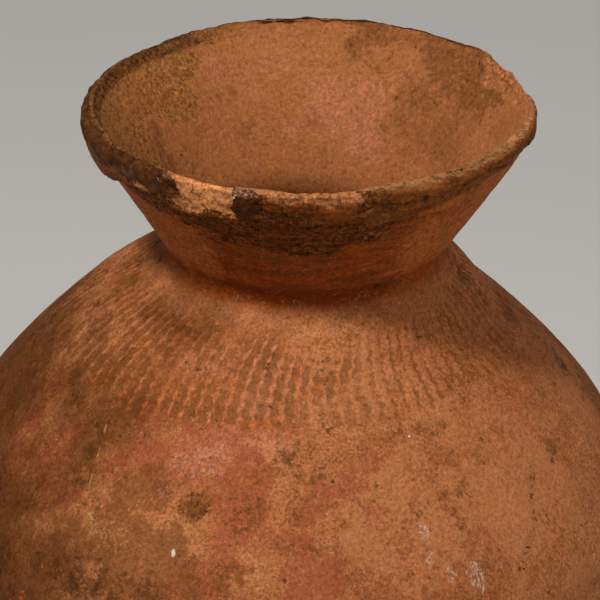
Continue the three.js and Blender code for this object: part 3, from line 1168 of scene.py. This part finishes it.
class ClayMaterial(Nodes):
    """A clay material that is laid up coat by coat. Colours are given by name or as a node's output."""

    SHEEN = linear(255, 214, 170)
    GRAIN_DEPTH = 0.4 * MM

    def __init__(self, name, wall, colours):
        self.material = bpy.data.materials.new(name)
        self.material.use_nodes = True
        super().__init__(self.material.node_tree)
        self.wall = wall
        self.colours = colours
        self.at = self.new("ShaderNodeTexCoord").outputs["Object"]
        self.colour = self.effect("Mottle", Brown=self.paint("brown"), Tan=self.paint("tan"))
        self.roughness = self.plus(self.times(self.noise(160.0, 4.0), 0.25), 0.62)

    def paint(self, colour):
        """A colour by its name, or a node's output as it is."""
        return tuple(getattr(self.colours, colour)) if isinstance(colour, str) else colour

    def place(self, degrees, reach, side=0.0):
        """A place on the outer face, or on the inner one at side 1, in metres."""
        at = np.array([reach])
        return tuple(self.wall.place(at, side * self.wall.thickness(at), np.radians([degrees]))[0] * MM)

    def coat(self, mask, colour, strength):
        """Lays a colour where a mask is."""
        self.colour = self.mix(self.times(mask, strength), self.colour, self.paint(colour))

    def glaze(self, mask, shade):
        """Darkens what lies below where a mask is."""
        self.colour = self.mix(mask, self.colour, self.paint(shade), "MULTIPLY")

    def grained(self, colour, scale, amount, detail=5.0):
        """A colour broken up by grain."""
        shade = self.spread(self.noise(scale, detail, 0.78), amount)
        return self.shaded(self.paint(colour), shade)

    def textured(self, colour, amount, scale):
        """A colour broken up by the finest grain."""
        return self.grained(colour, scale, 4.0 * amount, 6.0)

    def streaked(self, first, second, scale, grain=2.6):
        """Two colours in level streaks, as wiping leaves them, broken up by grain."""
        level = self.vector("MULTIPLY", self.at, (1.0, 1.0, 6.0))
        share = self.step(self.noise(scale, 7.0, 0.72, at=level), 0.38, 0.62)
        return self.grained(self.mix(share, self.paint(first), self.paint(second)), 480.0, grain)

    def fibrous(self, first, second):
        """Short pale fibres over a darker ground."""
        drawn = self.vector("MULTIPLY", self.at, (1.0, 1.0, 0.6))
        share = self.step(self.noise(420.0, 4.0, 0.65, 1.4, drawn), 0.34, 0.58)
        return self.grained(self.mix(share, self.paint(first), self.paint(second)), 700.0, 4.0)

    def broken(self, name, scale, amount, fine, low, high):
        """A stored mask with its edge broken up by coarse and fine noise."""
        coarse = self.times(self.minus(self.noise(scale, 5.0, 0.65, 0.3), 0.5), amount)
        small = self.times(self.minus(self.noise(6.0 * scale, 4.0, 0.7), 0.5), fine)
        return self.step(self.plus(self.mask(name), self.plus(coarse, small)), low, high)

    def washes(self, coats):
        """Lays coats in order, each a row of mask, broken edge, colour, grain and strength."""
        for mask, edge, colour, grain, strength in coats:
            self.coat(self.broken(mask, *edge), self.textured(colour, *grain), strength)

    def specks(self, colour, spacing, share, size, strength, where=None):
        """Scatters specks of a colour."""
        mask = self.effect("Specks", Spacing=spacing, Share=share, Size=size)
        self.coat(mask if where is None else self.times(mask, where), colour, strength)

    def patch_mask(self, place, size, rag, lumps):
        """A ragged patch round one place on the wall, its half sizes in millimetres."""
        half = tuple(value * MM for value in size)
        return self.effect("Patch", Centre=self.place(*place), Size=half, Rag=rag, Lumps=lumps)

    def patch(self, colour, place, size, strength, rag, lumps):
        """Lays a ragged patch of a colour round one place."""
        self.coat(self.patch_mask(place, size, rag, lumps), colour, strength)

    def dusting(self, colour, place, size, strength):
        """Lays a thin scuffed dusting of a colour round one place."""
        drawn = self.vector("MULTIPLY", self.at, (1.0, 1.0, 0.4))
        scuffs = self.step(self.noise(1000.0, 5.0, 0.7, 0.6, drawn), 0.46, 0.66)
        self.coat(self.times(self.patch_mask(place, size, 0.8, 160.0), scuffs), colour, strength)

    def scratch(self, colour, places, width, strength, dotted=False):
        """Draws a thin broken line, or a dotted one, through places on the wall."""
        dots = self.step(self.noise(620.0, 4.0, 0.7), 0.5, 0.6) if dotted else 1.0
        ends = [self.place(*place) for place in places]
        for start, end in zip(ends, ends[1:]):
            line = self.effect("Scratch", Start=start, End=end, Width=width * MM)
            self.coat(self.times(line, dots), colour, strength)

    def done(self, bump, coarse=1.0, gloss=0.1):
        """Joins the coats to the shader."""
        height = self.effect("Grain", Coarse=coarse)
        inputs = {"Height": height, "Strength": bump, "Distance": self.GRAIN_DEPTH}
        raised = self.new("ShaderNodeBump", inputs).outputs[0]
        shader = self.tree.nodes["Principled BSDF"].inputs
        shader["Specular IOR Level"].default_value = gloss
        shader["Specular Tint"].default_value = (*self.SHEEN, 1.0)
        self.join(shader["Base Color"], self.colour)
        self.join(shader["Roughness"], self.roughness)
        self.join(shader["Normal"], raised)
        return self.material


# Coats of the clay, in the order that they are laid: mask, broken edge, colour, grain and strength.
# An edge is its scale, coarse noise, fine noise, and the values where it starts and is full.
# A grain is its amount and its scale
BODY_COATS = (
    # Umber: partly darker clay, partly painted shade on the left side
    ("umber", (40, 2.4, 1.6, 0.2, 0.9), "umber", (0.8, 620), 0.6),
    ("tan", (45, 2.0, 1.6, 0.34, 0.66), "tan", (0.7, 620), 0.75),
    ("rose", (45, 2.0, 2.0, 0.3, 0.9), "pink", (0.8, 620), 0.6),
    ("slip", (55, 2.6, 2.0, 0.42, 0.66), "slip", (0.9, 620), 0.66),
    ("olive", (70, 2.6, 2.2, 0.4, 0.66), "olive", (0.8, 620), 0.62),
    ("stain", (70, 2.4, 2.4, 0.3, 0.9), "dark", (1.0, 520), 0.7),
    ("scab", (160, 1.2, 2.0, 0.3, 0.55), "scab", (2.4, 420), 0.85),
    # Marks: dust and painted shade in the grooves
    ("marks", (90, 1.8, 2.0, 0.15, 0.85), "groove", (0.7, 520), 0.68),
)
NECK_COATS = (
    # Painted light on the sides of the neck
    ("bright_neck", (60, 1.6, 1.6, 0.3, 1.0), "neck_light", (1.0, 480), 0.6),
    # Crease: painted shadow under the collar
    ("crease", (60, 1.0, 1.0, 0.2, 0.9), "crease", (0.6, 520), 0.75),
)
INSIDE_COATS = (
    ("pink", (50, 1.4, 1.2, 0.2, 0.9), "pink", (0.8, 620), 0.6),
    ("brown", (70, 2.0, 2.0, 0.25, 0.95), "olive", (0.7, 520), 0.5),
    ("dull", (60, 2.0, 2.0, 0.25, 0.85), "dull", (1.0, 520), 0.85),
)
LIP_COATS = (
    ("crusted", (110, 2.2, 1.8, 0.3, 0.65), "crust_tan", (1.4, 420), 0.8),
    ("dirt", (170, 1.6, 2.4, 0.2, 0.9), "dirt", (2.0, 420), 0.9),
    ("grime", (170, 1.6, 2.4, 0.2, 0.9), "dirt", (2.0, 420), 0.85),
    ("chipped", (170, 1.4, 2.0, 0.3, 0.7), "fray", (1.2, 420), 0.7),
    # Fray: worn and chipped crest, and at the front partly a painted highlight
    ("fray", (170, 2.0, 2.4, 0.24, 0.8), "fray", (1.4, 520), 0.9),
    ("raw", (170, 1.6, 1.8, 0.4, 0.65), "raw", (1.1, 520), 0.95),
)
CRUST_COATS = (
    ("rub", (130, 2.0, 2.6, 0.65, 1.1), "dirt", (1.4, 420), 0.35),
    ("raw", (150, 1.6, 1.8, 0.4, 0.75), "fray", (1.6, 520), 0.8),
    # Arris: painted shadow under the crest's overhang
    ("arris", (190, 1.4, 2.0, 0.35, 0.8), "crust", (1.2, 420), 0.85),
)

# Dustings on the body: colour, bearing and reach, half sizes, strength
BODY_DUSTINGS = (
    ("lime_and_glint", (25.6, 319), (3, 3, 4), 0.6),
    ("lime_and_glint", (25.2, 309), (2, 2, 7), 0.6),
    ("pale", (-33, 314.5), (13, 9, 3), 0.45),
    ("lime_and_glint", (28.4, 300.5), (2.6, 2.6, 6), 0.6),
    ("lime_and_glint", (32.6, 296.5), (5, 4.6, 8.5), 0.75),
    ("haze_and_sheen", (-18.5, 351), (12, 9, 8), 0.44),
    ("haze_and_sheen", (-23, 336), (8, 6, 2), 0.26),
)
# Specks all over: colour, spacing, share, size, strength
SPECKS = (
    ("speck", 360, 0.4, 0.26, 0.45),
    ("speck", 110, 0.12, 0.16, 0.75),
    ("pale", 190, 0.03, 0.12, 0.6),
    ("ridge", 230, 0.2, 0.3, 0.5),
)
# Lines on the wall, through places told by bearing and reach
LONG_SCRATCH = ((-43.2, 354), (-42.4, 346.5), (-41.2, 337.5), (-39.6, 323.5), (-39.8, 320.5), (-35.6, 317))
DOTTED_LINE = ((54, 326), (49.6, 315.5), (48, 306), (44.4, 299), (41.6, 291), (38.8, 284))
LIP_CRACK = ((14.4, 494), (14, 490), (13.2, 484), (15.2, 477.5))
# Single spots: bearing, reach and half sizes
LIME_CHIP = ((-19.6, 313), (0.9, 1.5, 2.2))
LIME_DOT = ((28.8, 358), (0.6, 0.6, 0.5))
RIGHT_CHIP = ((67, 496), (5, 6, 3))
YELLOW_FLECKS = (
    (-174, 440, 0.8),
    (-175.5, 439, 0.7),
    (176, 442, 0.9),
    (-161.6, 446, 0.6),
    (-164, 427, 0.7),
    (166.8, 456, 0.7),
    (143.6, 438, 0.8),
    (160.8, 427, 0.8),
)
CRUST_PITS = ((51.2, 490, 2.0), (42.4, 494, 1.4), (79, 493, 2.0), (86, 492, 1.2))


def lay_body(clay):
    """Slip, wear and stain of the body, its darker left side that is partly painted shade, and the impressed
    band: dust and painted shade in its grooves, and rubbed ridges.
    """
    clay.washes(BODY_COATS)
    hue = clay.step(clay.noise(38.0, 5.0, 0.6), 0.42, 0.6)
    rosy = clay.grained(clay.mix(hue, clay.paint("pink"), clay.paint("ridge")), 620.0, 3.0)
    clay.coat(clay.broken("ridges", 200.0, 2.2, 2.6, 0.2, 0.7), rosy, 0.85)
    clay.specks("ridge", 320.0, 0.5, 0.4, 0.42, clay.broken("marks_zone", 45.0, 3.0, 2.0, 0.5, 0.9))
    # Painted shade on the left side, multiplied over the coats below
    clay.glaze(clay.broken("umber", 30.0, 1.6, 0.8, 0.1, 1.0), "shade")
    clay.coat(clay.mask("dust"), clay.textured("tan", 0.8, 620.0), 0.2)


def lay_specks(clay):
    """Specks of grit, and of pale and bright clay, all over."""
    for row in SPECKS:
        clay.specks(*row)


def body_material(name, wall, colours):
    """Worn clay of the body and the shoulder, with its slip, stains, scratches and impressed marks."""
    clay = ClayMaterial(name, wall, colours)
    lay_body(clay)
    lay_specks(clay)
    clay.scratch("pale", LONG_SCRATCH, 0.55, 0.55)
    clay.scratch("speck", DOTTED_LINE, 2.6, 0.75, dotted=True)
    for row in BODY_DUSTINGS:
        clay.dusting(*row)
    clay.patch("lime_and_glint", *LIME_CHIP, 0.9, 0.3, 600.0)
    clay.patch("lime_and_glint", *LIME_DOT, 0.8, 0.3, 600.0)
    return clay.done(0.55)


def lay_inside(clay):
    """Smooth inside of the collar, with its bloom, worn patches and yellow earth."""
    inside = clay.mask("inside_collar")
    clay.coat(inside, clay.textured("inside", 0.75, 620.0), 0.75)
    clay.washes(INSIDE_COATS)
    clay.coat(clay.broken("ochre", 60.0, 1.8, 1.8, 0.3, 0.7), clay.fibrous("ochre", "straw"), 0.85)
    clay.specks("fleck", 170.0, 0.05, 0.22, 0.7, inside)
    for degrees, reach, half in YELLOW_FLECKS:
        clay.patch("fleck", (degrees, reach, 1.0), (2.4 * half, half, half), 0.5, 1.2, 620.0)


def collar_material(name, wall, colours):
    """Clay of the neck, the collar and the lip: smoked outside, smooth and worn inside, with painted light
    and shade on the neck and a painted sheen and highlight on the lip.
    """
    clay = ClayMaterial(name, wall, colours)
    lay_body(clay)
    # The neck coat is partly clay colour and partly painted shade under the collar
    clay.coat(clay.mask("outside_collar"), clay.streaked("neck", "neck_dark", 45.0, 3.6), 0.88)
    clay.washes(NECK_COATS)
    clay.dusting("haze_and_sheen", (-27, 416), (13, 8, 5), 0.16)
    # Painted sheen on the crest of the lip at the front
    clay.dusting("haze_and_sheen", (-14, 495), (11, 6, 2.4), 0.4)
    lay_inside(clay)
    lay_specks(clay)
    soot = clay.broken("smoke", 90.0, 1.8, 2.2, 0.25, 0.85)
    clay.coat(soot, clay.streaked("soot", "soot_brown", 60.0, 8.0), 0.9)
    clay.specks("speck", 420.0, 0.5, 0.45, 0.75, soot)
    clay.specks("soot_brown", 350.0, 0.35, 0.4, 0.6, soot)
    clay.coat(clay.broken("worn", 120.0, 1.6, 1.6, 0.3, 0.7), clay.streaked("worn", "soot_brown", 60.0), 0.8)
    clay.washes(LIP_COATS)
    clay.patch("raw", *RIGHT_CHIP, 0.7, 0.9, 300.0)
    clay.scratch("speck", LIP_CRACK, 0.8, 0.85)
    return clay.done(0.55)


def crust_material(name, wall, colours):
    """The hard crust on the lip band: dark and shiny at the left, rubbed to grey and tan at the right."""
    clay = ClayMaterial(name, wall, colours)
    clay.colour = clay.streaked("crust_face", "soot_brown", 60.0, 3.6)
    clay.coat(clay.broken("crest", 110.0, 1.4, 1.6, 0.3, 0.7), clay.textured("crust_tan", 1.4, 420.0), 0.85)
    dark = clay.broken("dark", 90.0, 2.2, 2.4, 0.28, 0.6)
    clay.coat(dark, clay.textured("crust", 2.2, 340.0), 0.92)
    clay.washes(CRUST_COATS)
    clay.specks("speck", 130.0, 0.3, 0.3, 0.85)
    clay.specks("raw", 120.0, 0.05, 0.24, 0.7)
    for degrees, reach, half in CRUST_PITS:
        clay.patch("speck", (degrees, reach), (half, half, half), 0.9, 0.7, 420.0)
    clay.patch("raw", (-47, 482), (4, 4, 2.6), 0.9, 0.8, 320.0)
    clay.patch("raw", *RIGHT_CHIP, 0.7, 0.9, 300.0)
    # Painted sheen on the top of the front band
    clay.dusting("haze_and_sheen", (-15, 494), (9, 6, 2.4), 0.6)
    # Painted highlight: a white glint at the left end of the front band
    clay.patch("lime_and_glint", (-18, 491), (1.8, 1.8, 1.2), 0.75, 0.5, 500.0)
    shine = clay.times(dark, clay.step(clay.noise(120.0, 4.0), 0.5, 0.64))
    clay.roughness = clay.minus(0.8, clay.times(shine, 0.45))
    return clay.done(0.5, coarse=1.4, gloss=0.18)


MATERIALS = {"Body clay": body_material, "Collar clay": collar_material, "Lip crust": crust_material}


# Operators


class PieceOperator:
    """What the operators that make clay pieces share."""

    bl_options = {"REGISTER", "UNDO"}

    def start(self, context, name):
        """The wall, and the material of that name, which is made on first use."""
        wall = Wall(context.scene.pot_sizes)
        made = bpy.data.materials.get(name) or MATERIALS[name](name, wall, context.scene.pot_colours)
        return wall, made


class POT_OT_base_bowl(PieceOperator, bpy.types.Operator):
    """Model the moulded base bowl"""

    bl_idname = "round_pot.base_bowl"
    bl_label = "Base bowl"

    def execute(self, context):
        wall, clay = self.start(context, "Body clay")
        outer = rows(0.0, wall.sizes.bowl_reach, step=2.2)
        inner = rows(wall.sizes.bowl_reach + wall.sizes.lap, 0.0, step=5)
        section = lapped_section(wall, outer, inner, at_foot=False)
        clay_ring("base_bowl", clay, wall, section, columns=480, open_axis=True)
        return {"FINISHED"}


class POT_OT_lower_wall(PieceOperator, bpy.types.Operator):
    """Model the coils from the base bowl up to the widest girth"""

    bl_idname = "round_pot.lower_wall"
    bl_label = "Lower wall coils"

    def execute(self, context):
        wall, clay = self.start(context, "Body clay")
        coils = numbered("lower_wall_coil", 4)
        ends = (wall.sizes.bowl_reach, wall.belly)
        coil_run(coils, "body_clay", clay, wall, *ends, columns=640, outer_step=1.6, inner_step=3)
        return {"FINISHED"}


class POT_OT_shoulder(PieceOperator, bpy.types.Operator):
    """Model the coils from the widest girth up to the neck, with the impressed band"""

    bl_idname = "round_pot.shoulder"
    bl_label = "Shoulder coils"

    def execute(self, context):
        wall, clay = self.start(context, "Body clay")
        coils = numbered("shoulder_coil", 7)
        ends = (wall.belly, wall.neck_seam)
        coil_run(coils, "shoulder_clay", clay, wall, *ends, columns=1060, outer_step=0.8, inner_step=3)
        return {"FINISHED"}


class POT_OT_neck(PieceOperator, bpy.types.Operator):
    """Model the neck coil with its rounded crease"""

    bl_idname = "round_pot.neck"
    bl_label = "Neck coil"

    def execute(self, context):
        wall, clay = self.start(context, "Collar clay")
        ends = (wall.neck_seam, wall.collar_seam)
        coil_run(["neck_coil"], "collar_clay", clay, wall, *ends, columns=800, outer_step=0.8, inner_step=2)
        return {"FINISHED"}


class POT_OT_collar(PieceOperator, bpy.types.Operator):
    """Model the two coils of the flaring collar"""

    bl_idname = "round_pot.collar"
    bl_label = "Collar coils"

    def execute(self, context):
        wall, clay = self.start(context, "Collar clay")
        coils = numbered("collar_coil", 2)
        ends = (wall.collar_seam, wall.lip_seam)
        coil_run(coils, "collar_clay", clay, wall, *ends, columns=900, outer_step=0.8, inner_step=0.8)
        return {"FINISHED"}


class POT_OT_lip(PieceOperator, bpy.types.Operator):
    """Model the lip coil with its rounded, chipped crest"""

    bl_idname = "round_pot.lip"
    bl_label = "Lip coil"

    def execute(self, context):
        wall, clay = self.start(context, "Collar clay")
        inner_step = 0.8
        outer = rows(wall.lip_seam, wall.crest_end, step=0.6)
        inner = rows(wall.lip - inner_step, wall.lip_seam + wall.sizes.lap, inner_step)
        section = lapped_section(wall, outer, inner, at_top=False)
        clay_ring("lip_coil", clay, wall, section, columns=1100)
        return {"FINISHED"}


class POT_OT_lip_bands(PieceOperator, bpy.types.Operator):
    """Model the lengths of the applied lip band that are left"""

    bl_idname = "round_pot.lip_bands"
    bl_label = "Lip bands"

    def execute(self, context):
        wall, crust = self.start(context, "Lip crust")
        for cad_node in BAND_LENGTHS:
            band_piece(cad_node, crust, wall)
        return {"FINISHED"}


# Stage, in metres

FLOOR_SIZE = 8.0
FLOOR_ROUGHNESS = 0.9
FLOOR_BOUNCE = 0.4  # share of the floor's colour that lights the pot from below
SKY_COLOUR = (1.0, 0.97, 0.93, 1.0)
SKY_STRENGTH = 0.11
LAMP_TARGET = (0.0, 0.0, 0.25)
# Place, size, power in watts, colour
LAMPS = {
    "Key lamp": ((-0.63, -0.82, 1.98), 0.28, 30.0, (1.0, 0.96, 0.9)),
    "Fill lamp": ((1.6, -1.6, 1.0), 1.2, 15.8, (1.0, 0.97, 0.93)),
    "Side lamp": ((-1.8, -0.7, 0.7), 0.9, 4.8, (1.0, 0.97, 0.93)),
    "Back lamp": ((0.5, 1.6, 1.6), 1.0, 5.0, (1.0, 0.98, 0.96)),
}
CAMERA_ELEVATION = math.radians(26.8)
CAMERA_DISTANCE = 1.5
CAMERA_TARGET = (0.006, 0.0, 0.2562)
SENSOR_WIDTH = 36.0
FOCAL_LENGTH = 210.7


def pale_floor(colour):
    """A plain floor that shows its colour to the camera and throws less of it on the pot."""
    bpy.ops.object.select_all(action="DESELECT")
    bpy.ops.mesh.primitive_plane_add(size=FLOOR_SIZE, location=(0.0, 0.0, 0.0))
    floor = bpy.context.object
    floor.name = "floor"
    paint = bpy.data.materials.new("Pale floor")
    paint.use_nodes = True
    nodes = Nodes(paint.node_tree)
    shader = nodes.tree.nodes["Principled BSDF"].inputs
    rays = nodes.new("ShaderNodeLightPath").outputs
    seen = nodes.maths("ADD", rays["Is Camera Ray"], rays["Is Glossy Ray"], clamp=True)
    nodes.join(shader["Base Color"], nodes.mix(seen, tuple(FLOOR_BOUNCE * value for value in colour), colour))
    shader["Roughness"].default_value = FLOOR_ROUGHNESS
    floor.data.materials.append(paint)


def soft_room():
    """Faint light from all round."""
    world = bpy.data.worlds.new("Soft room")
    world.use_nodes = True
    sky = world.node_tree.nodes["Background"].inputs
    sky["Color"].default_value = SKY_COLOUR
    sky["Strength"].default_value = SKY_STRENGTH
    return world


def soft_lamp(name, place, size, power, colour):
    """A soft square lamp that faces the pot."""
    data = bpy.data.lights.new(name, "AREA")
    data.size = size
    data.energy = power
    data.color = colour
    lamp = bpy.data.objects.new(name, data)
    lamp.location = place
    lamp.rotation_euler = (Vector(LAMP_TARGET) - Vector(place)).to_track_quat("-Z", "Y").to_euler()
    bpy.context.collection.objects.link(lamp)


def front_camera():
    """A camera in front of the pot, looking down at it."""
    camera = bpy.data.objects.new("Camera", bpy.data.cameras.new("Camera"))
    back = CAMERA_DISTANCE * math.cos(CAMERA_ELEVATION)
    rise = CAMERA_DISTANCE * math.sin(CAMERA_ELEVATION)
    camera.location = Vector(CAMERA_TARGET) + Vector((0.0, -back, rise))
    camera.rotation_euler = (math.pi / 2 - CAMERA_ELEVATION, 0.0, 0.0)
    camera.data.sensor_width = SENSOR_WIDTH
    camera.data.lens = FOCAL_LENGTH
    camera.data.dof.use_dof = False
    bpy.context.collection.objects.link(camera)
    return camera


class POT_OT_stage(bpy.types.Operator):
    """Set the floor, the lamps and the camera"""

    bl_idname = "round_pot.stage"
    bl_label = "Stage"

    def execute(self, context):
        scene = context.scene
        pale_floor(tuple(scene.pot_colours.floor))
        scene.world = soft_room()
        for name, settings in LAMPS.items():
            soft_lamp(name, *settings)
        scene.camera = front_camera()
        scene.view_settings.view_transform = "Standard"
        return {"FINISHED"}


class POT_PT_panel(bpy.types.Panel):
    """Lists the pot's sizes, colours and pieces"""

    bl_idname = "POT_PT_panel"
    bl_label = "Round pot"
    bl_space_type = "VIEW_3D"
    bl_region_type = "UI"
    bl_category = "Round pot"

    def draw(self, context):
        for settings in (context.scene.pot_sizes, context.scene.pot_colours):
            column = self.layout.column(align=True)
            for name in settings.__annotations__:
                column.prop(settings, name)
        for operator in OPERATORS:
            self.layout.operator(operator.bl_idname)


OPERATORS = (
    POT_OT_stage,
    POT_OT_base_bowl,
    POT_OT_lower_wall,
    POT_OT_shoulder,
    POT_OT_neck,
    POT_OT_collar,
    POT_OT_lip,
    POT_OT_lip_bands,
)
CLASSES = (PotSizes, PotColours, *OPERATORS, POT_PT_panel)


def register():
    for entry in CLASSES:
        bpy.utils.register_class(entry)
    bpy.types.Scene.pot_sizes = bpy.props.PointerProperty(type=PotSizes)
    bpy.types.Scene.pot_colours = bpy.props.PointerProperty(type=PotColours)


def unregister():
    del bpy.types.Scene.pot_colours
    del bpy.types.Scene.pot_sizes
    for entry in reversed(CLASSES):
        bpy.utils.unregister_class(entry)


def main():
    register()
    bpy.ops.round_pot.stage()
    bpy.ops.round_pot.base_bowl()
    bpy.ops.round_pot.lower_wall()
    bpy.ops.round_pot.shoulder()
    bpy.ops.round_pot.neck()
    bpy.ops.round_pot.collar()
    bpy.ops.round_pot.lip()
    bpy.ops.round_pot.lip_bands()


if __name__ == "__main__":
    main()
